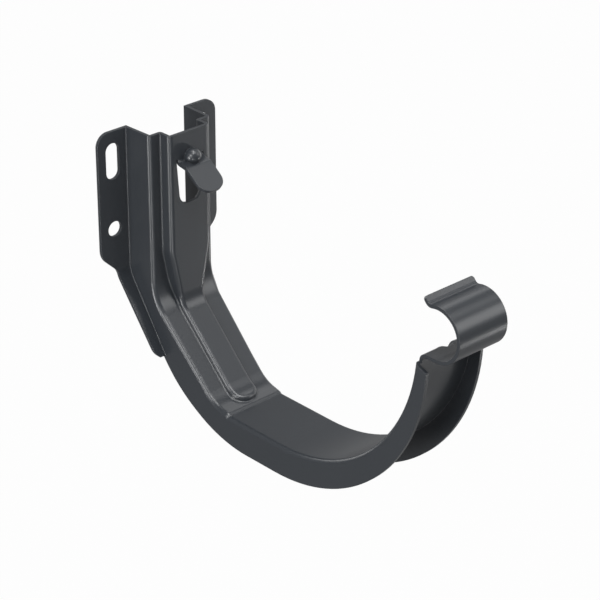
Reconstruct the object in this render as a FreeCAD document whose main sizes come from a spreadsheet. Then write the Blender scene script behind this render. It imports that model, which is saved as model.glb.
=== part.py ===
"""Fascia bracket for a half-round gutter, pressed and folded from one steel sheet.

Two slotted ears lie on the wall. Between them the sheet is pressed forward into a
deep channel with a raised rib, which bends under the gutter and up its front, and
ends in a strip rolled round the gutter's bead. A tongue cut from the rib holds the
back of the gutter down.

The channel is the difference of two filled forms, one for each face of the sheet,
which the same functions make with a different inset.

Frame: +X along the wall, -Y out from the wall, +Z up. The origin is on the wall
face, half way between the two round fixing holes. Millimetres and degrees. In the
side outlines "out" is the distance from the wall, so it is written as minus Y.
"""
import FreeCAD, Part
import math
import os
import re
import Sketcher
from FreeCAD import Vector

os.makedirs("parts", exist_ok=True)
doc = FreeCAD.newDocument("gutter_bracket")

SIZES = {
    # Sheet
    "thickness": 1.25,
    "fold_radius": 0.4,
    "top_edge": 38.0,
    # Ears, and the lip that runs on from them down the slope
    "ear_half_width": 27.5,
    "ear_corner": 5.0,
    "ear_bottom": -10.2,
    "ear_bottom_round": 7.0,
    "lip_half_width": 20.2,
    "lip_top": -17.2,
    "lip_top_round": 4.0,
    "lip_end_half_width": 17.9,
    "lip_corner": 3.8,
    "lip_bend": -19.0,
    "lip_bend_radius": 9.0,
    "lip_angle": 57.2,
    "lip_length": 34.2,
    "hole_spacing": 42.0,
    "hole_diameter": 6.0,
    "slot_length": 14.0,
    "slot_height": 26.5,
    # Channel
    "channel_half_back": 14.7,
    "channel_half_front": 13.5,
    "taper_length": 36.0,
    "shoulder_out": 13.9,
    "shoulder_bend": -26.4,
    "shoulder_bend_radius": 18.0,
    "slope_angle": 44.5,
    "seat_height": -59.25,
    "seat_bend_radius": 14.0,
    "run_angle": 12.0,
    "crease_out": 52.4,
    "crease_drop": 0.7,
    "crease_angle": 45.0,
    "crease_round": 2.0,
    "crease_foot_round": 0.5,
    "front_out": 145.4,
    "front_radius": 65.4,
    "front_lean": 6.0,
    "ledge_height": 2.9,
    "ledge_bend_radius": 1.5,
    "flange_out": 150.6,
    "flange_radius": 72.2,
    "flange_bottom": -71.0,
    "flange_back_radius": 54.0,
    "flange_end_height": -0.2,
    "flange_end_angle": 21.0,
    # Rib
    "rib_out": 19.05,
    "rib_slope_height": 1.9,
    "rib_bend_radius": 10.0,
    "rib_half_width": 9.4,
    "rib_slope_half_width": 5.6,
    "rib_taper_top": -8.0,
    "rib_taper_bottom": -27.0,
    "rib_taper_round": 14.0,
    "rib_end_out": 50.9,
    "rib_crest_round": 1.6,
    "rib_foot_round": 0.6,
    # Window, and the tongue cut from it
    "window_top": 28.3,
    "window_height": 17.9,
    "window_half_width": 6.3,
    "window_end_half_width": 4.9,
    "window_round": 4.3,
    "tongue_half_width": 5.7,
    "tongue_bend_radius": 1.0,
    "tongue_root_angle": 11.0,
    "tongue_root_length": 3.3,
    "tongue_angle": 37.0,
    "tongue_length": 11.1,
    "tongue_round": 4.8,
    # Hook round the gutter's bead
    "hook_half_width": 11.1,
    "bead_radius": 9.0,
    "bead_out": 152.4,
    "hook_wrap": 195.0,
    "hook_lip_radius": 1.6,
    "hook_lip_turn": 65.0,
    "hook_lip_length": 2.0,
    "hook_corner": 1.2,
    # Dome pressed across the tongue's root, and dent pressed across the ledge's bend
    "dome_radius": 3.0,
    "dome_height": 5.0,
    "dome_angle": 47.0,
    "dome_shift": 0.3,
    "dome_stem": 6.0,
    "dent_radius": 2.7,
    "dent_depth": 3.1,
    "dent_straight": 2.0,
}
sheet = doc.addObject("Spreadsheet::Sheet", "Sizes")
for row, (alias, value) in enumerate(SIZES.items(), start=1):
    sheet.set(f"A{row}", alias)
    sheet.set(f"B{row}", str(value))
    sheet.setAlias(f"B{row}", alias)
doc.recompute()

CLEAR = 60.0  # how far a cutting outline runs past what it cuts
THROUGH = 800.0  # length of a cut that goes right through everything
SMOOTH_ANGLE = 11.0  # faces that meet more evenly than this run on without an edge
SIDE_ANGLE = 25.0  # a side wall's normal is this near the X axis
PROBE = 0.02  # how far beside an edge the shape is tested for being solid
NEAR = 0.01  # places closer than this are taken as the same
BEHIND = "3 * thickness"  # how far a filled form runs in behind the face it makes
CUT = "4 * thickness"  # depth of a cut that goes through one sheet
NOSE = 0.95  # the rib's end is nearly a half round


def worth(formula):
    """The present value of a formula written in the sheet's names."""
    return float(sheet.evalExpression(formula))


def bind(item, path, formula):
    """Ties one property or constraint to a formula written in the sheet's names."""
    named = re.sub(r"[a-z_]+", lambda word: "Sizes." + word[0] if word[0] in SIZES else word[0], formula)
    item.setExpression(path, named)


def new_body(name):
    body = doc.addObject("PartDesign::Body", name)
    body.Label = name
    return body


def new_sketch(body, role, name, lift=None):
    sketch = body.newObject("Sketcher::SketchObject", name)
    plane = next(item for item in body.Origin.OriginFeatures if item.Role == role)
    sketch.AttachmentSupport = [(plane, "")]
    sketch.MapMode = "FlatFace"
    if lift:
        bind(sketch, ".AttachmentOffset.Base.z", lift)
    return sketch


def hold(sketch, geometry, point, across, up):
    """Holds one point of a sketch at two formulas."""
    for kind, formula in (("DistanceX", across), ("DistanceY", up)):
        index = sketch.addConstraint(Sketcher.Constraint(kind, -1, 1, geometry, point, worth(formula)))
        bind(sketch, f"Constraints[{index}]", formula)


def outline(sketch, corners):
    """A closed outline of straight runs. Each corner is (across, up) or (across, up, round)."""
    spots = [Vector(worth(corner[0]), worth(corner[1]), 0) for corner in corners]
    count = len(spots)
    rounds = [worth(corner[2]) if len(corner) > 2 else 0.0 for corner in corners]
    ways = [(spots[(i + 1) % count] - spots[i]).normalize() for i in range(count)]
    turns = [ways[i - 1].cross(ways[i]).z for i in range(count)]
    setbacks = [rounds[i] * math.tan(ways[i - 1].getAngle(ways[i]) / 2) for i in range(count)]
    starts = [spots[i] + ways[i] * setbacks[i] for i in range(count)]
    ends = [spots[i] - ways[i - 1] * setbacks[i] for i in range(count)]
    lines = [sketch.addGeometry(Part.LineSegment(starts[i], ends[(i + 1) % count])) for i in range(count)]
    for i, corner in enumerate(corners):
        before = lines[i - 1]
        after = lines[i]
        if not rounds[i]:
            sketch.addConstraint(Sketcher.Constraint("Coincident", before, 2, after, 1))
            hold(sketch, after, 1, corner[0], corner[1])
            continue
        side = Vector(-ways[i].y, ways[i].x, 0) * math.copysign(rounds[i], turns[i])
        centre = starts[i] + side
        first, last = (ends[i], starts[i]) if turns[i] > 0 else (starts[i], ends[i])
        from_angle = math.atan2(first.y - centre.y, first.x - centre.x)
        to_angle = math.atan2(last.y - centre.y, last.x - centre.x)
        circle = Part.Circle(centre, Vector(0, 0, 1), rounds[i])
        bend = sketch.addGeometry(Part.ArcOfCircle(circle, from_angle, to_angle))
        near, far = (1, 2) if turns[i] > 0 else (2, 1)
        sketch.addConstraint(Sketcher.Constraint("Tangent", before, 2, bend, near))
        sketch.addConstraint(Sketcher.Constraint("Tangent", after, 1, bend, far))
        index = sketch.addConstraint(Sketcher.Constraint("Radius", bend, rounds[i]))
        bind(sketch, f"Constraints[{index}]", corner[2])
        spot = sketch.addGeometry(Part.Point(spots[i]), True)
        hold(sketch, spot, 1, corner[0], corner[1])
        sketch.addConstraint(Sketcher.Constraint("PointOnObject", spot, 1, before))
        sketch.addConstraint(Sketcher.Constraint("PointOnObject", spot, 1, after))
    return sketch


def slot(sketch, across, height, length, width):
    """An upright slot with round ends, at (across, height)."""
    x = worth(across)
    low = worth(f"{height} - ({length} - {width}) / 2")
    high = worth(f"{height} + ({length} - {width}) / 2")
    radius = worth(f"{width} / 2")
    axis = Vector(0, 0, 1)
    right = sketch.addGeometry(Part.LineSegment(Vector(x + radius, low, 0), Vector(x + radius, high, 0)))
    top = sketch.addGeometry(Part.ArcOfCircle(Part.Circle(Vector(x, high, 0), axis, radius), 0, math.pi))
    left = sketch.addGeometry(Part.LineSegment(Vector(x - radius, high, 0), Vector(x - radius, low, 0)))
    below = Part.Circle(Vector(x, low, 0), axis, radius)
    foot = sketch.addGeometry(Part.ArcOfCircle(below, math.pi, 2 * math.pi))
    for before, after in ((right, top), (top, left), (left, foot), (foot, right)):
        sketch.addConstraint(Sketcher.Constraint("Tangent", before, 2, after, 1))
    hold(sketch, top, 3, across, f"{height} + ({length} - {width}) / 2")
    hold(sketch, foot, 3, across, f"{height} - ({length} - {width}) / 2")
    sketch.addConstraint(Sketcher.Constraint("Equal", top, foot))
    index = sketch.addConstraint(Sketcher.Constraint("Diameter", top, 2 * radius))
    bind(sketch, f"Constraints[{index}]", width)


def frame_round(sketch, corners):
    """Draws an outline with a wide rectangle round it, so that a pocket keeps only what is inside."""
    outline(sketch, corners)
    across = [worth(corner[0]) for corner in corners]
    up = [worth(corner[1]) for corner in corners]
    left, right = min(across) - CLEAR, max(across) + CLEAR
    low, high = min(up) - CLEAR, max(up) + CLEAR
    spots = [Vector(left, low, 0), Vector(right, low, 0), Vector(right, high, 0), Vector(left, high, 0)]
    for i in range(4):
        sketch.addGeometry(Part.LineSegment(spots[i], spots[(i + 1) % 4]))
    return sketch


def pad(body, sketch, name, length):
    feature = body.newObject("PartDesign::Pad", name)
    feature.Profile = sketch
    feature.Midplane = True
    bind(feature, "Length", length)
    return feature


def keep_inside(body, sketch, name):
    """Cuts away all that lies between a sketch's outline and the frame round it."""
    doc.recompute()
    before = body.Shape.Volume
    feature = body.newObject("PartDesign::Pocket", name)
    feature.Profile = sketch
    feature.Type = "Length"
    feature.Midplane = True
    feature.Length = THROUGH
    doc.recompute()
    if not feature.Shape.Volume < before:
        raise ValueError(f"{name} cuts nothing")
    return feature


def mirrored_half(half):
    """Both halves of an outline that is symmetric about X = 0, from the corners on the +X side."""
    other = [(f"-({corner[0]})", *corner[1:]) for corner in reversed(half)]
    return half + other


def sharp_edges(shape, wanted):
    """Names of a shape's edges where two faces meet at an angle and wanted(point, normals, hollow) holds."""
    names = []
    for number, edge in enumerate(shape.Edges, start=1):
        faces = shape.ancestorsOfType(edge, Part.Face)
        if len(faces) != 2:
            continue
        point = edge.valueAt((edge.FirstParameter + edge.LastParameter) / 2)
        normals = [face.normalAt(*face.Surface.parameter(point)) for face in faces]
        if math.degrees(normals[0].getAngle(normals[1])) < SMOOTH_ANGLE:
            continue
        probe = point + (normals[0] - normals[1]) * PROBE
        if wanted(point, normals, shape.isInside(probe, PROBE / 100, False)):
            names.append(f"Edge{number}")
    return names


def is_side(normal):
    """True for the normal of a side wall, which looks along X."""
    return abs(normal.x) > math.cos(math.radians(SIDE_ANGLE))


def round_edges(body, name, radius, wanted):
    """Fillets the edges of a body's last feature that wanted picks."""
    doc.recompute()
    base = body.Tip
    names = sharp_edges(base.Shape, wanted)
    if not names:
        raise ValueError(f"{name} finds no edge")
    fillet = body.newObject("PartDesign::Fillet", name)
    fillet.Base = (base, names)
    bind(fillet, "Radius", radius)
    doc.recompute()
    if fillet.Shape.isNull():
        raise ValueError(f"{name} can't be rounded")
    return fillet


# The channel's side outline, on the face of the sheet that looks at the gutter
SLOPE_END = "shoulder_out + (shoulder_bend - seat_height) / tan(slope_angle)"
CREASE_HEIGHT = "(seat_height + crease_drop)"
RUN_DROP = f"(shoulder_bend - {CREASE_HEIGHT} - (crease_out - shoulder_out) * tan(run_angle))"
RUN_START = f"(shoulder_out + {RUN_DROP} / (tan(slope_angle) - tan(run_angle)))"
RUN_TOP = f"({CREASE_HEIGHT} + (crease_out - {RUN_START}) * tan(run_angle))"
FRONT_FOOT = "front_out - (ledge_height - seat_height) * tan(front_lean)"


def inset_corner(out, height, before, after, inset):
    """The corner of two runs that fall at two angles, once both have moved into the sheet by the inset."""
    middle = f"({before} + {after}) / 2"
    spread = f"cos(({after} - {before}) / 2)"
    back = f"{inset} * sin({middle}) / {spread}"
    down = f"{inset} * cos({middle}) / {spread}"
    return f"-({out} - {back})", f"{height} - {down}"


def gutter_side(inset):
    """Corners from the top of the shoulder, under the gutter and up to the ledge."""
    slope_drop = f"{inset} * cos(slope_angle) / (1 + sin(slope_angle))"
    bend = inset_corner(RUN_START, RUN_TOP, "slope_angle", "run_angle", inset)
    crease = inset_corner("crease_out", CREASE_HEIGHT, "run_angle", "crease_angle", inset)
    foot_out = "crease_out + crease_drop / tan(crease_angle)"
    foot = inset_corner(foot_out, "seat_height", "crease_angle", "0", inset)
    front_shift = f"{inset} * cos(front_lean) / (1 + sin(front_lean))"
    bottom = f"seat_height - {inset}"
    ledge_round = f"ledge_bend_radius + thickness - {inset}"
    return [
        (f"-(shoulder_out - {inset})", f"shoulder_bend - {slope_drop}", f"shoulder_bend_radius + {inset}"),
        (*bend, f"seat_bend_radius + {inset}"),
        (*crease, f"crease_round - {inset}"),
        (*foot, f"crease_foot_round + {inset}"),
        (f"-({FRONT_FOOT} + {front_shift})", bottom, f"front_radius + {inset}"),
        (f"-(front_out + {front_shift})", f"ledge_height - {inset}", ledge_round),
    ]


def rib_side(inset):
    """The rib's crest and its hidden return through the inside of the form."""
    crest = "rib_slope_height"
    drop = f"{inset} * cos(slope_angle) / (1 + sin(slope_angle))"
    bend = f"shoulder_bend - (rib_out - shoulder_out) * tan(slope_angle) + {crest} / cos(slope_angle)"
    low = inset_corner(RUN_START, RUN_TOP, "slope_angle", "run_angle", f"({inset} - {crest})")
    end = f"(rib_end_out + {BEHIND})"
    end_lift = f"({crest} - {inset}) / cos(run_angle) - ({end} - crease_out) * tan(run_angle)"
    return [
        (f"-(rib_out - {inset})", f"top_edge + {inset}"),
        (f"-(rib_out - {inset})", f"{bend} - {drop}", f"rib_bend_radius + {inset}"),
        (*low, f"seat_bend_radius - {crest} + {inset}"),
        (f"-{end}", f"{CREASE_HEIGHT} + {end_lift}"),
        (f"-{end}", f"seat_height - {BEHIND}"),
        (f"-({SLOPE_END} - {BEHIND})", f"seat_height - {BEHIND}"),
        (f"-shoulder_out + {BEHIND}", f"shoulder_bend - {BEHIND}"),
        (f"-shoulder_out + {BEHIND}", f"top_edge + {inset}"),
    ]


def taper_plan(inset):
    """The channel's outline from above, narrowing from the wall to the seat."""
    return mirrored_half([
        (f"channel_half_front - {inset}", f"-flange_out - {CLEAR}"),
        (f"channel_half_front - {inset}", "-taper_length", "taper_length"),
        (f"channel_half_back - {inset}", "0"),
        (f"channel_half_back - {inset}", f"{CLEAR}"),
    ])


def rib_front(inset):
    """The rib's outline from the front, wide above and narrow on the slope."""
    return mirrored_half([
        (f"rib_slope_half_width - {inset}", f"flange_bottom - {CLEAR}"),
        (f"rib_slope_half_width - {inset}", "rib_taper_bottom", "rib_taper_round"),
        (f"rib_half_width - {inset}", "rib_taper_top", "rib_taper_round"),
        (f"rib_half_width - {inset}", f"top_edge + {CLEAR}"),
    ])


def rib_plan(inset):
    """The rib's outline from above, which ends it square at the seat."""
    return mirrored_half([
        ("rib_half_width * 2", f"-(rib_end_out - {inset})"),
        ("rib_half_width * 2", f"{CLEAR}"),
    ])


def on_fold(point, normals, hollow):
    """True on the long folds between the channel's side walls and the faces under the gutter."""
    middle = Vector(0, -worth("(shoulder_out + front_out) / 2"), 0)
    side = max(normals, key=lambda normal: abs(normal.x))
    other = min(normals, key=lambda normal: abs(normal.x))
    outside = abs(point.x) > worth("hook_half_width")
    return outside and not hollow and is_side(side) and other.dot(middle - point) > 0


def on_rib(point):
    """True on the rib's own edges, but not round its end at the top of the sheet."""
    beside = abs(point.x) < worth("rib_half_width") + NEAR
    return beside and point.z < worth("top_edge") - NEAR and -point.y < worth("rib_end_out") + NEAR


def join(body, name, other, kind):
    """Adds another body to this one, or cuts it away."""
    doc.recompute()
    before = body.Shape.Volume
    feature = body.newObject("PartDesign::Boolean", name)
    feature.Type = kind
    feature.setObjects([other])
    doc.recompute()
    grown = feature.Shape.Volume - before
    if grown <= 0 if kind == "Fuse" else grown >= 0:
        raise ValueError(f"{name} changes nothing")


def strip_path(sketch, start, heading, runs):
    """An open path of tangent runs, each (length, None) or (radius, turn). A turn to the left is positive."""
    spot = Vector(worth(start[0]), worth(start[1]), 0)
    way = worth(heading)
    last = None
    for size, turn in runs:
        length = worth(size)
        along = Vector(math.cos(math.radians(way)), math.sin(math.radians(way)), 0)
        if turn is None:
            piece = sketch.addGeometry(Part.LineSegment(spot, spot + along * length))
            spot = spot + along * length
            index = sketch.addConstraint(Sketcher.Constraint("Distance", piece, length))
            bind(sketch, f"Constraints[{index}]", size)
            near, far = 1, 2
        else:
            angle = worth(turn)
            left = angle > 0
            side = Vector(-along.y, along.x, 0) * (length if left else -length)
            centre = spot + side
            begin = math.atan2(-side.y, -side.x)
            end = begin + math.radians(angle)
            circle = Part.Circle(centre, Vector(0, 0, 1), length)
            arc = Part.ArcOfCircle(circle, begin, end) if left else Part.ArcOfCircle(circle, end, begin)
            piece = sketch.addGeometry(arc)
            spot = centre + Vector(math.cos(end), math.sin(end), 0) * length
            way += angle
            index = sketch.addConstraint(Sketcher.Constraint("Radius", piece, length))
            bind(sketch, f"Constraints[{index}]", size)
            index = sketch.addConstraint(Sketcher.Constraint("Angle", piece, math.radians(abs(angle))))
            bind(sketch, f"Constraints[{index}]", f"abs({turn}) * 1 deg")
            near, far = (1, 2) if left else (2, 1)
        if last is None:
            hold(sketch, piece, 1, start[0], start[1])
            index = sketch.addConstraint(Sketcher.Constraint("Angle", piece, math.radians(worth(heading))))
            bind(sketch, f"Constraints[{index}]", f"({heading}) * 1 deg")
        else:
            sketch.addConstraint(Sketcher.Constraint("Tangent", *last, piece, near))
        last = (piece, far)
    return sketch


def rectangle(sketch, half_width, low, high):
    return outline(sketch, [
        (half_width, low),
        (half_width, high),
        (f"-{half_width}", high),
        (f"-{half_width}", low),
    ])


def bent_strip(body, name, profile, path, corner):
    """Carries a strip's end section along its path, and rounds the corners where it ends."""
    doc.recompute()
    strip = body.newObject("PartDesign::AdditivePipe", name)
    strip.Profile = profile
    strip.Spine = (path, [f"Edge{number + 1}" for number in range(len(path.Shape.Edges))])
    doc.recompute()
    if strip.Shape.isNull():
        raise ValueError(f"{name} can't be bent")
    tip = path.Shape.OrderedVertexes[-1].Point
    round_edges(body, name + "Corners", corner,
                lambda point, normals, hollow: Vector(0, point.y - tip.y, point.z - tip.z).Length < NEAR)


def filled_form(name, inset, closing, foot_round, fold_round=None):
    """A solid whose faces under the gutter are one face of the sheet, rib and folds with them.

    Without a fold radius the folds stay sharp, as on the hidden face, where they are nearly so.
    """
    rib = new_body(name + "Rib")
    sketch = outline(new_sketch(rib, "YZ_Plane", name + "RibSide"), rib_side(inset))
    pad(rib, sketch, name + "RibPad", "rib_half_width * 3")
    front = frame_round(new_sketch(rib, "XZ_Plane", name + "RibFront"), rib_front(inset))
    keep_inside(rib, front, name + "RibTaper")
    above = frame_round(new_sketch(rib, "XY_Plane", name + "RibAbove"), rib_plan(inset))
    keep_inside(rib, above, name + "RibEnd")
    end = worth(f"rib_end_out - {inset}")
    round_edges(rib, name + "RibNose", f"(rib_slope_half_width - {inset}) * {NOSE}",
                lambda point, normals, hollow: abs(point.y + end) < NEAR
                and (is_side(normals[0]) or is_side(normals[1])))

    form = new_body(name)
    side = outline(new_sketch(form, "YZ_Plane", name + "Side"), gutter_side(inset) + closing)
    pad(form, side, name + "Pad", "channel_half_back * 3")
    plan = frame_round(new_sketch(form, "XY_Plane", name + "Plan"), taper_plan(inset))
    keep_inside(form, plan, name + "Taper")
    join(form, name + "Joined", rib, "Fuse")
    round_edges(form, name + "Foot", foot_round, lambda point, normals, hollow: on_rib(point) and hollow)
    if fold_round:
        round_edges(form, name + "Folds", fold_round, on_fold)
    return form


LIP_END_OUT = "lip_length * cos(lip_angle)"
LIP_END_HEIGHT = "lip_bend - lip_length * sin(lip_angle)"


def ears():
    """Both ears and the lips below them, as one bent plate that runs behind the channel."""
    body = new_body("Ears")
    inner_bend = "lip_bend + thickness * cos(lip_angle) / (1 + sin(lip_angle))"
    side = outline(new_sketch(body, "YZ_Plane", "EarSide"), [
        ("0", "top_edge"),
        ("0", "lip_bend", "lip_bend_radius"),
        (f"-{LIP_END_OUT}", LIP_END_HEIGHT),
        (f"-({LIP_END_OUT} + thickness * sin(lip_angle))", f"{LIP_END_HEIGHT} + thickness * cos(lip_angle)"),
        ("-thickness", inner_bend, "lip_bend_radius - thickness"),
        ("-thickness", "top_edge"),
    ])
    pad(body, side, "EarPad", "ear_half_width * 3")
    front = frame_round(new_sketch(body, "XZ_Plane", "EarFront"), mirrored_half([
        ("lip_end_half_width", LIP_END_HEIGHT, "lip_corner"),
        ("lip_half_width", "lip_top", "lip_top_round"),
        ("ear_half_width", "ear_bottom", "ear_bottom_round"),
        ("ear_half_width", "top_edge", "ear_corner"),
    ]))
    keep_inside(body, front, "EarOutline")
    holes = new_sketch(body, "XZ_Plane", "FixingHoles")
    slot(holes, "hole_spacing / 2", "slot_height", "slot_length", "hole_diameter")
    middle = Vector(worth("hole_spacing / 2"), 0, 0)
    ring = holes.addGeometry(Part.Circle(middle, Vector(0, 0, 1), worth("hole_diameter / 2")))
    hold(holes, ring, 3, "hole_spacing / 2", "0")
    index = holes.addConstraint(Sketcher.Constraint("Diameter", ring, worth("hole_diameter")))
    bind(holes, f"Constraints[{index}]", "hole_diameter")
    pocket = body.newObject("PartDesign::Pocket", "FixingPocket")
    pocket.Profile = holes
    pocket.Midplane = True
    bind(pocket, "Length", f"2 * {CUT}")
    doc.recompute()
    other = body.newObject("PartDesign::Mirrored", "OtherEarHoles")
    other.Originals = [pocket]
    middle = next(item for item in body.Origin.OriginFeatures if item.Role == "YZ_Plane")
    other.MirrorPlane = (middle, [""])
    body.Tip = other
    doc.recompute()
    return body


def flange_ends():
    """What is trimmed off the channel's front end, on both sides of the hook's strip."""
    body = new_body("FlangeEnds")
    inner = f"front_out - ledge_bend_radius - {CUT}"
    beyond = f"flange_out + {CUT}"
    above = f"ledge_height + {CUT}"
    side = outline(new_sketch(body, "YZ_Plane", "FlangeEndSide"), [
        (f"-({inner})", "flange_end_height"),
        ("-front_out", "flange_end_height"),
        (f"-({beyond})", f"flange_end_height - ({beyond} - front_out) * tan(flange_end_angle)"),
        (f"-({beyond})", above),
        (f"-({inner})", above),
    ])
    pad(body, side, "FlangeEndPad", "channel_half_back * 3")
    doc.recompute()
    strip = rectangle(new_sketch(body, "XY_Plane", "StripPlan"),
                      "hook_half_width", f"-flange_out - {CLEAR}", "-shoulder_out")
    keep = body.newObject("PartDesign::Pocket", "StripKept")
    keep.Profile = strip
    keep.Midplane = True
    keep.Length = THROUGH
    doc.recompute()
    return body


def hook():
    """The strip rolled round the bead, opening back towards the gutter, with a lip turned up."""
    body = new_body("Hook")
    start = "flange_out - thickness"
    path = strip_path(
        new_sketch(body, "YZ_Plane", "HookPath"),
        (f"-({start})", "ledge_height - thickness / 2"), "180",
        [
            (f"bead_out - ({start})", None),
            ("bead_radius + thickness / 2", "-hook_wrap"),
            ("hook_lip_radius + thickness / 2", "hook_lip_turn"),
            ("hook_lip_length", None),
        ])
    section = rectangle(new_sketch(body, "XZ_Plane", "HookSection", start),
                        "hook_half_width", "ledge_height - thickness", "ledge_height")
    bent_strip(body, "HookStrip", section, path, "hook_corner")
    return body


def tongue():
    """The tongue left by the window, bent forward over the back of the gutter."""
    body = new_body("Tongue")
    start = "window_top + 2 * thickness"
    path = strip_path(
        new_sketch(body, "YZ_Plane", "TonguePath"),
        ("-(rib_out - thickness / 2)", start), "-90",
        [
            ("2 * thickness", None),
            ("tongue_bend_radius + thickness / 2", "-(90 - tongue_root_angle)"),
            ("tongue_root_length", None),
            ("tongue_bend_radius + thickness / 2", "tongue_angle - tongue_root_angle"),
            ("tongue_length", None),
        ])
    section = new_sketch(body, "XY_Plane", "TongueSection", start)
    rectangle(section, "tongue_half_width", "-rib_out", "-(rib_out - thickness)")
    bent_strip(body, "TongueStrip", section, path, "tongue_round")
    return body


def capsule(name, centre, tilt, radius, straight):
    """A rod with ball ends whose axis lies in the middle plane, tilted by an angle from the +Y axis."""
    body = new_body(name)
    sketch = new_sketch(body, "YZ_Plane", name + "Side")
    bind(sketch, ".AttachmentOffset.Base.x", centre[0])
    bind(sketch, ".AttachmentOffset.Base.y", centre[1])
    bind(sketch, ".AttachmentOffset.Rotation.Angle", f"({tilt}) * 1 deg")
    half = worth(f"{straight} / 2")
    size = worth(radius)
    axis = sketch.addGeometry(Part.LineSegment(Vector(-half - size, 0, 0), Vector(half + size, 0, 0)))
    side = sketch.addGeometry(Part.LineSegment(Vector(half, size, 0), Vector(-half, size, 0)))
    ends = [Part.Circle(Vector(place, 0, 0), Vector(0, 0, 1), size) for place in (half, -half)]
    right = sketch.addGeometry(Part.ArcOfCircle(ends[0], 0, math.pi / 2))
    left = sketch.addGeometry(Part.ArcOfCircle(ends[1], math.pi / 2, math.pi))
    sketch.addConstraint(Sketcher.Constraint("Coincident", axis, 2, right, 1))
    sketch.addConstraint(Sketcher.Constraint("Tangent", right, 2, side, 1))
    sketch.addConstraint(Sketcher.Constraint("Tangent", side, 2, left, 1))
    sketch.addConstraint(Sketcher.Constraint("Coincident", left, 2, axis, 1))
    hold(sketch, right, 3, f"{straight} / 2", "0")
    hold(sketch, left, 3, f"-{straight} / 2", "0")
    sketch.addConstraint(Sketcher.Constraint("PointOnObject", right, 1, -1))
    index = sketch.addConstraint(Sketcher.Constraint("Radius", right, size))
    bind(sketch, f"Constraints[{index}]", radius)
    feature = body.newObject("PartDesign::Revolution", name + "Turned")
    feature.Profile = sketch
    feature.ReferenceAxis = (sketch, ["H_Axis"])
    feature.Angle = 360.0
    doc.recompute()
    return body


ROOT_CORNER = "window_top - tongue_bend_radius * tan(45 - tongue_root_angle / 2)"
DOME_LIFT = "(dome_height - dome_radius - dome_stem / 2)"
DOME_CENTRE = (
    f"-(rib_out + {DOME_LIFT} * cos(dome_angle) + dome_shift * sin(dome_angle))",
    f"{ROOT_CORNER} + {DOME_LIFT} * sin(dome_angle) - dome_shift * cos(dome_angle)",
)
DOME_TILT = "(180 - dome_angle)"
DENT_SINK = "(dent_depth - dent_radius) * cos(45)"
DENT_CENTRE = (f"-(front_out + {DENT_SINK})", f"ledge_height - {DENT_SINK}")
DENT_TILT = "135"


def dome():
    """The outside of the dome that stiffens the tongue's root, kept to the side it is pressed out to."""
    body = capsule("Dome", DOME_CENTRE, DOME_TILT, "dome_radius", "dome_stem")
    inner = "(rib_out - thickness / 2)"
    outer = "(rib_out + 3 * dome_radius)"
    root = f"({ROOT_CORNER} - thickness / 2)"
    kept = frame_round(new_sketch(body, "YZ_Plane", "DomeKept"), [
        (f"-{inner}", root),
        (f"-{inner}", "window_top + 3 * dome_radius"),
        (f"-{outer}", "window_top + 3 * dome_radius"),
        (f"-{outer}", f"{root} - ({outer} - {inner}) * tan(tongue_root_angle)"),
    ])
    keep_inside(body, kept, "DomeTrimmed")
    return body


def dent_bump():
    """The bump that the ledge's dent raises inside the bend."""
    body = capsule("Bump", DENT_CENTRE, DENT_TILT, "(dent_radius + thickness)", "dent_straight")
    inner = "(front_out + thickness / 2)"
    outer = "(front_out + 3 * dent_radius)"
    top = "ledge_height - thickness / 2"
    low = "(ledge_height - 3 * dent_radius)"
    kept = frame_round(new_sketch(body, "YZ_Plane", "BumpKept"), [
        (f"-{inner}", top),
        (f"-({inner} - (ledge_height - {low}) * tan(front_lean))", low),
        (f"-{outer}", low),
        (f"-{outer}", top),
    ])
    keep_inside(body, kept, "BumpTrimmed")
    return body


# The outer faces: the channel's walls end at the wall, along the slope and at the flanges' free edge
bracket = filled_form(
    "Face", "0 * thickness",
    [
        ("-flange_out", "ledge_height"),
        ("-flange_out", "flange_bottom", "flange_radius"),
        ("-(lip_bend - flange_bottom) / tan(lip_angle)", "flange_bottom", "flange_back_radius"),
        ("0", "lip_bend", "lip_bend_radius"),
        ("0", "top_edge"),
        ("-shoulder_out", "top_edge"),
    ],
    "rib_foot_round", "fold_radius + thickness")
round_edges(bracket, "Crest", "rib_crest_round",
            lambda point, normals, hollow: on_rib(point) and not hollow)
# The inner faces: the same one thickness deeper, running out past every free edge
hollow = filled_form(
    "Hollow", "thickness",
    [
        (f"-flange_out - {CLEAR / 2}", "ledge_height - thickness"),
        (f"-flange_out - {CLEAR / 2}", f"flange_bottom - {CLEAR / 2}"),
        (f"{CLEAR / 2}", f"flange_bottom - {CLEAR / 2}"),
        (f"{CLEAR / 2}", f"top_edge + {CLEAR / 2}"),
        ("-(shoulder_out - thickness)", f"top_edge + {CLEAR / 2}"),
    ],
    "rib_foot_round + 0.5 * thickness")
join(bracket, "EarsJoined", ears(), "Fuse")
round_edges(bracket, "EarFolds", "fold_radius",
            lambda point, normals, hollow: hollow and abs(point.x) > worth("channel_half_front") - NEAR
            and abs(point.x) < worth("channel_half_back") + NEAR)
join(bracket, "Hollowed", hollow, "Cut")
join(bracket, "FrontTrimmed", flange_ends(), "Cut")
window = new_sketch(bracket, "XZ_Plane", "Window", "rib_out + thickness")
outline(window, mirrored_half([
    ("window_end_half_width", "window_top - window_height", "window_round"),
    ("window_half_width", "window_top"),
]))
opening = bracket.newObject("PartDesign::Pocket", "WindowOpening")
opening.Profile = window
bind(opening, "Length", CUT)
doc.recompute()
join(bracket, "TongueJoined", tongue(), "Fuse")
join(bracket, "DomeJoined", dome(), "Fuse")
dome_hollow = capsule("DomeHollow", DOME_CENTRE, DOME_TILT, "(dome_radius - thickness)", "dome_stem")
join(bracket, "DomeHollowed", dome_hollow, "Cut")
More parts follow.
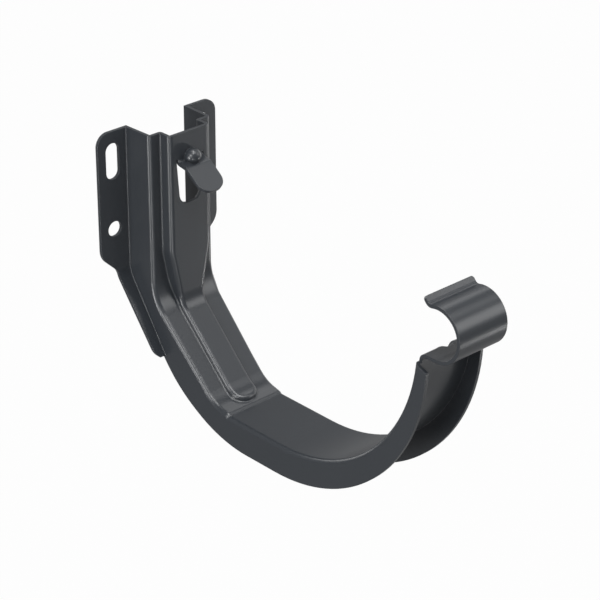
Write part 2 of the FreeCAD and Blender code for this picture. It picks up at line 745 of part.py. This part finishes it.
join(bracket, "HookJoined", hook(), "Fuse")
join(bracket, "BumpJoined", dent_bump(), "Fuse")
dent = capsule("Dent", DENT_CENTRE, DENT_TILT, "dent_radius", "dent_straight")
join(bracket, "DentPressed", dent, "Cut")
bracket.Label = "gutter_bracket"

for item in doc.Objects:
    if {"Invalid", "Error"} & set(item.State):
        raise ValueError(f"{item.Name} failed")
shape = bracket.Shape
if shape.isNull() or not shape.isValid() or len(shape.Solids) != 1:
    raise ValueError("the bracket isn't one valid solid")
shape.Solids[0].exportStep(f"parts/{bracket.Label}.step")
print(bracket.Label, "volume", round(shape.Volume), "mm3, faces", len(shape.Faces))
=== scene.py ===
# %% [markdown]
# # A powder-coated gutter bracket
#
# The object is a fascia bracket for a half-round gutter: one steel sheet, pressed and
# folded, with slotted ears for the wall, a ribbed channel that cradles the gutter, a
# tongue over the gutter's back edge and a curl round its front bead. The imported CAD
# model is the frame of this scene, in metres, with +X along the wall, -Y out from the
# wall and +Z up. It already has every fold and pressing, so the script leaves its mesh
# as it is and gives it its finish, a studio and a camera.

import math

import bpy
import numpy as np
from mathutils import Matrix, Vector

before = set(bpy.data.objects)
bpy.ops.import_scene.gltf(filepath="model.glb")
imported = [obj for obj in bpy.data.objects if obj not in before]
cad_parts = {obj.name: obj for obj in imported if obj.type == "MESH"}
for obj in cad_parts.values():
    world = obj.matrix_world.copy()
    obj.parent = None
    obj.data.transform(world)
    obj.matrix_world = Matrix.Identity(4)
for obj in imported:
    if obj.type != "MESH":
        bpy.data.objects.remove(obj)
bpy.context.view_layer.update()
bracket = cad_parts["gutter_bracket"]

MM = 0.001  # one millimetre in the scene's metres

# %% [markdown]
# ## Colours
#
# Paint colours are picked as sRGB hex values, as on a colour chart. The shader
# works in linear light, so every hex value goes through one function first. The film is
# a hair thicker in some places than in others, so the anthracite has two shades.

# %% From a colour chart to linear light
DARK_SHADE = "#24272b"
LIGHT_SHADE = "#282b2f"
PAPER = "#b4b4b4"  # the floor's paper, as the lamps light it
WHITE = (1, 1, 1, 1)


def linear(hex_colour):
    """Splits an sRGB hex value into red, green and blue and undoes the sRGB curve on each."""
    channels = np.array([int(hex_colour[i:i + 2], 16) for i in (1, 3, 5)]) / 255
    straight = np.where(channels <= 0.04045, channels / 12.92, ((channels + 0.055) / 1.055) ** 2.4)
    return (*straight.tolist(), 1.0)


for shade_name in (DARK_SHADE, LIGHT_SHADE):
    print("anthracite", shade_name, "in linear light:", [round(v, 4) for v in linear(shade_name)])

# %% [markdown]
# ## The powder coat
#
# The sheet is galvanised steel with a polyester powder coat: plastic powder that is
# sprayed on dry and melted in an oven. It comes out satin, evenly dark grey, with a
# faint orange peel about a millimetre from crest to crest, and it runs thick enough
# over the sheet's cut edges to round them by a quarter of a millimetre. An image
# texture could show all this, but the patterns are regular noise, so nodes that read
# the object's own coordinates give them at their true size and follow every fold.

# %% A helper that adds one node
def add_node(tree, kind, settings=None, **inputs):
    """Adds a node, sets its properties, and fills or links its sockets by name."""
    node = tree.nodes.new(kind)
    for name, value in (settings or {}).items():
        setattr(node, name, value)
    for name, value in inputs.items():
        socket = node.inputs[name.replace("_", " ")]
        if isinstance(value, bpy.types.NodeSocket):
            tree.links.new(value, socket)
        else:
            socket.default_value = value
    return node


# %% Satin polyester powder coat
PEEL_MM = 1.1  # crest to crest of the orange peel
PEEL_DEPTH_MM = 0.02  # crest to trough
PEEL_STRENGTH = 0.08  # share of that depth that the eye picks up
CLOUD_MM = 38.0  # slow drift of the film's thickness, which shifts the shade
EDGE_MM = 0.25  # radius of the film over a cut edge
EDGE_SAMPLES = 6
POLYESTER_IOR = 1.5
# Satin. The denoiser treats a gloss smoother than about 0.275 differently, and a range
# that crosses that value shows thin lines on the flat faces, so it stays above it.
CREST_ROUGHNESS, TROUGH_ROUGHNESS = 0.31, 0.28


def powder_coat():
    """Dark grey satin film: a slow drift of the shade, and a fine peel in the normal and the gloss."""
    material = bpy.data.materials.new("satin_polyester_powder_coat")
    material.use_nodes = True
    tree = material.node_tree
    tree.nodes.clear()
    place = add_node(tree, "ShaderNodeTexCoord").outputs["Object"]
    drift = add_node(tree, "ShaderNodeTexNoise", Vector=place, Scale=1 / (CLOUD_MM * MM), Detail=2.0)
    shade = add_node(tree, "ShaderNodeMix", {"data_type": "RGBA"}, Factor=drift.outputs["Fac"])
    shade.inputs[6].default_value = linear(DARK_SHADE)
    shade.inputs[7].default_value = linear(LIGHT_SHADE)
    peel = add_node(tree, "ShaderNodeTexNoise", Vector=place, Scale=1 / (PEEL_MM * MM),
                    Detail=2.0, Roughness=0.4)
    gloss = add_node(tree, "ShaderNodeMapRange", Value=peel.outputs["Fac"],
                     To_Min=TROUGH_ROUGHNESS, To_Max=CREST_ROUGHNESS)
    rim = add_node(tree, "ShaderNodeBevel", {"samples": EDGE_SAMPLES}, Radius=EDGE_MM * MM)
    skin = add_node(tree, "ShaderNodeBump", Strength=PEEL_STRENGTH, Distance=PEEL_DEPTH_MM * MM,
                    Height=peel.outputs["Fac"], Normal=rim.outputs["Normal"])
    film = add_node(tree, "ShaderNodeBsdfPrincipled", Base_Color=shade.outputs[2],
                    Roughness=gloss.outputs["Result"], IOR=POLYESTER_IOR, Normal=skin.outputs["Normal"])
    add_node(tree, "ShaderNodeOutputMaterial", Surface=film.outputs["BSDF"])
    print("powder coat:", len(tree.nodes), "nodes, peel", PEEL_MM, "mm, drift", CLOUD_MM, "mm")
    return material


bracket.data.materials.clear()
bracket.data.materials.append(powder_coat())

# %% [markdown]
# ## White to the eye, dim as a light
#
# A catalogue picture floats on pure white. Lamps could light a backdrop until it clips,
# but that light would wash out the dark paint. So floor and room are white only for the
# rays that look at them, from the camera or through glass, and what they give as light
# is set on its own. Paint mirrors its surroundings too. It is neither metal nor glass,
# and the white behind such an object is mostly cut in later, so its reflections pick up
# only a share of it.

# %% Which rays see plain white
MIRRORED = 0.12  # share of the white that a reflection in the paint picks up


def sees_white(tree):
    """1 for a ray from the camera or through glass, MIRRORED for one off a gloss, 0 for one that only lights.

    It is the largest of: is camera ray, is glossy ray times MIRRORED, is transmission ray.
    """
    ray = add_node(tree, "ShaderNodeLightPath")
    gloss = add_node(tree, "ShaderNodeMath", {"operation": "MULTIPLY"})
    tree.links.new(ray.outputs["Is Glossy Ray"], gloss.inputs[0])
    gloss.inputs[1].default_value = MIRRORED
    either = add_node(tree, "ShaderNodeMath", {"operation": "MAXIMUM"})
    tree.links.new(ray.outputs["Is Camera Ray"], either.inputs[0])
    tree.links.new(gloss.outputs[0], either.inputs[1])
    any_of_three = add_node(tree, "ShaderNodeMath", {"operation": "MAXIMUM"})
    tree.links.new(either.outputs[0], any_of_three.inputs[0])
    tree.links.new(ray.outputs["Is Transmission Ray"], any_of_three.inputs[1])
    return any_of_three.outputs[0]


# %% [markdown]
# ## The floor
#
# The bracket hangs over a sheet of studio paper. One flat square does for it. It lies a
# metre and a half down, so that the shadow on it stays soft and one lamp fits under the
# bracket, and it is wide enough to end outside the picture.

# %% Floor
FLOOR_DROP = 1.50  # how far the floor lies under the round fixing holes
FLOOR_SIZE = 12.0
GLOW = 0.98  # share of plain white in what is seen of the floor; the rest takes the shadow


def pale_floor():
    """A flat square, white to the eye, which still takes the object's soft shadow."""
    half = FLOOR_SIZE / 2
    corners = np.array([[-1, -1], [1, -1], [1, 1], [-1, 1]]) * half
    points = np.column_stack([corners, np.full(4, -FLOOR_DROP)])
    mesh = bpy.data.meshes.new("pale_floor")
    mesh.from_pydata(points.tolist(), [], [(0, 1, 2, 3)])
    floor = bpy.data.objects.new("pale_floor", mesh)
    bpy.context.scene.collection.objects.link(floor)
    material = bpy.data.materials.new("white_studio_paper")
    material.use_nodes = True
    tree = material.node_tree
    tree.nodes.clear()
    paper = add_node(tree, "ShaderNodeBsdfDiffuse", Color=linear(PAPER))
    glow = add_node(tree, "ShaderNodeEmission", Color=WHITE, Strength=1.0)
    share = add_node(tree, "ShaderNodeMath", {"operation": "MULTIPLY"})
    tree.links.new(sees_white(tree), share.inputs[0])
    share.inputs[1].default_value = GLOW
    mixed = add_node(tree, "ShaderNodeMixShader", Fac=share.outputs[0])
    tree.links.new(paper.outputs[0], mixed.inputs[1])
    tree.links.new(glow.outputs[0], mixed.inputs[2])
    add_node(tree, "ShaderNodeOutputMaterial", Surface=mixed.outputs[0])
    floor.data.materials.append(material)
    print("floor:", FLOOR_SIZE, "m wide,", FLOOR_DROP, "m down")


pale_floor()

# %% [markdown]
# ## The room
#
# Behind the floor's edge the world takes over, in the same white. As a light it is an
# even dim grey, like the walls of a studio, which keeps the shadows from going black.

# %% World
AMBIENT = 0.3  # how bright the room is as a light


def white_room():
    """White where the camera looks past the object, and a dim even grey as light."""
    world = bpy.data.worlds.new("white_room")
    world.use_nodes = True
    tree = world.node_tree
    tree.nodes.clear()
    seen = add_node(tree, "ShaderNodeBackground", Color=WHITE, Strength=1.0)
    lit = add_node(tree, "ShaderNodeBackground", Color=WHITE, Strength=AMBIENT)
    mixed = add_node(tree, "ShaderNodeMixShader", Fac=sees_white(tree))
    tree.links.new(lit.outputs[0], mixed.inputs[1])
    tree.links.new(seen.outputs[0], mixed.inputs[2])
    add_node(tree, "ShaderNodeOutputWorld", Surface=mixed.outputs[0])
    bpy.context.scene.world = world
    print("room:", AMBIENT, "of white as a light")


white_room()

# %% [markdown]
# ## The lamps
#
# A satin surface is read by what it mirrors, so each lamp is a square soft box, and its
# place is where the paint would mirror it: a face whose normal is n shows, to an eye in
# the direction v, the box in the direction 2 (n . v) n - v. A small box gives a narrow
# line on a curved form, a large one an even sheen, and the same power spread over a
# larger box is dimmer in a reflection and as bright as a light.

# %% Soft boxes
AIM = Vector((0, -0.075, -0.01))  # middle of the bracket
NEAR, FAR = 1.2, 2.4  # distances in metres


def soft_box(name, azimuth, elevation, distance, side, power):
    """A square lamp that faces the bracket. Azimuth is in degrees from the front towards +X."""
    lamp = bpy.data.lights.new(name, "AREA")
    lamp.shape = "SQUARE"
    lamp.size = side
    lamp.energy = power
    box = bpy.data.objects.new(name, lamp)
    a, e = math.radians(azimuth), math.radians(elevation)
    way = Vector((math.sin(a) * math.cos(e), -math.cos(a) * math.cos(e), math.sin(e)))
    box.location = AIM + way * distance
    box.rotation_euler = (-way).to_track_quat("-Z", "Y").to_euler()
    box.visible_camera = False
    bpy.context.scene.collection.objects.link(box)
    return box


boxes = [
    # Wide boxes give the broad sheen on the left-hand walls, the shoulder and the slope
    soft_box("top", 0, 85, NEAR, 0.5, 7.0),
    soft_box("left", -75, 25, NEAR, 0.6, 8.8),
    soft_box("left_side", -95, -12, NEAR, 0.4, 8.0),
    soft_box("top_left", -30, 60, NEAR, 0.4, 6.0),
    soft_box("top_right", 30, 60, NEAR, 0.4, 2.4),
    # Weaker ones reach the slope's far side and the faces that look down
    soft_box("right_high", 65, 52, NEAR, 0.4, 0.8),
    soft_box("right_back", 122, 45, NEAR, 0.3, 0.7),
    soft_box("under_front", -10, -40, NEAR, 0.4, 1.4),
    soft_box("under_left", -45, -25, NEAR, 0.25, 2.2),
    # Large fills keep the right side and the back from going black
    soft_box("right_fill", 97, 4, NEAR, 1.3, 5.0),
    soft_box("back_fill", -178, 8, NEAR, 0.8, 5.5),
    # Two boxes on the right draw the bright lines along the curl
    soft_box("upper_line", 44, 22, NEAR, 0.5, 3.0),
    soft_box("lower_line", 58, -29, FAR, 0.2, 6.4),
]
print(len(boxes), "soft boxes,", round(sum(box.data.energy for box in boxes), 1), "W")

# %% [markdown]
# ## The camera
#
# The view was worked out from the picture: a long lens, about 43 degrees round to the
# left of square-on and 27 degrees above. The camera's own axes are built from those
# angles, and a small roll turns the two that lie in the picture.

# %% Camera
AZIMUTH, ELEVATION, ROLL = 43.02, 27.03, 0.163  # degrees
PLACE = Vector((-0.49196, -0.60380, 0.36012))
FOCAL_PIXELS, PICTURE_PIXELS = 2334.8, 600
SENSOR_MM = 36.0
CLIP_START = 0.05


def picture_camera():
    """The camera's back axis points from the object to the lens; right and up follow by cross products."""
    a, e, r = (math.radians(v) for v in (AZIMUTH, ELEVATION, ROLL))
    back = Vector((-math.sin(a) * math.cos(e), -math.cos(a) * math.cos(e), math.sin(e)))
    level = Vector((0, 0, 1)).cross(back).normalized()
    upright = back.cross(level)
    right = level * math.cos(r) + upright * math.sin(r)
    up = upright * math.cos(r) - level * math.sin(r)
    data = bpy.data.cameras.new("camera")
    data.sensor_width = SENSOR_MM
    data.lens = FOCAL_PIXELS / PICTURE_PIXELS * SENSOR_MM
    data.clip_start = CLIP_START
    camera = bpy.data.objects.new("camera", data)
    turn = Matrix((right, up, back)).transposed().to_4x4()
    camera.matrix_world = Matrix.Translation(PLACE) @ turn
    bpy.context.scene.collection.objects.link(camera)
    bpy.context.scene.camera = camera
    print("lens in mm:", round(data.lens, 1))


picture_camera()
bpy.context.scene.view_settings.view_transform = "Standard"
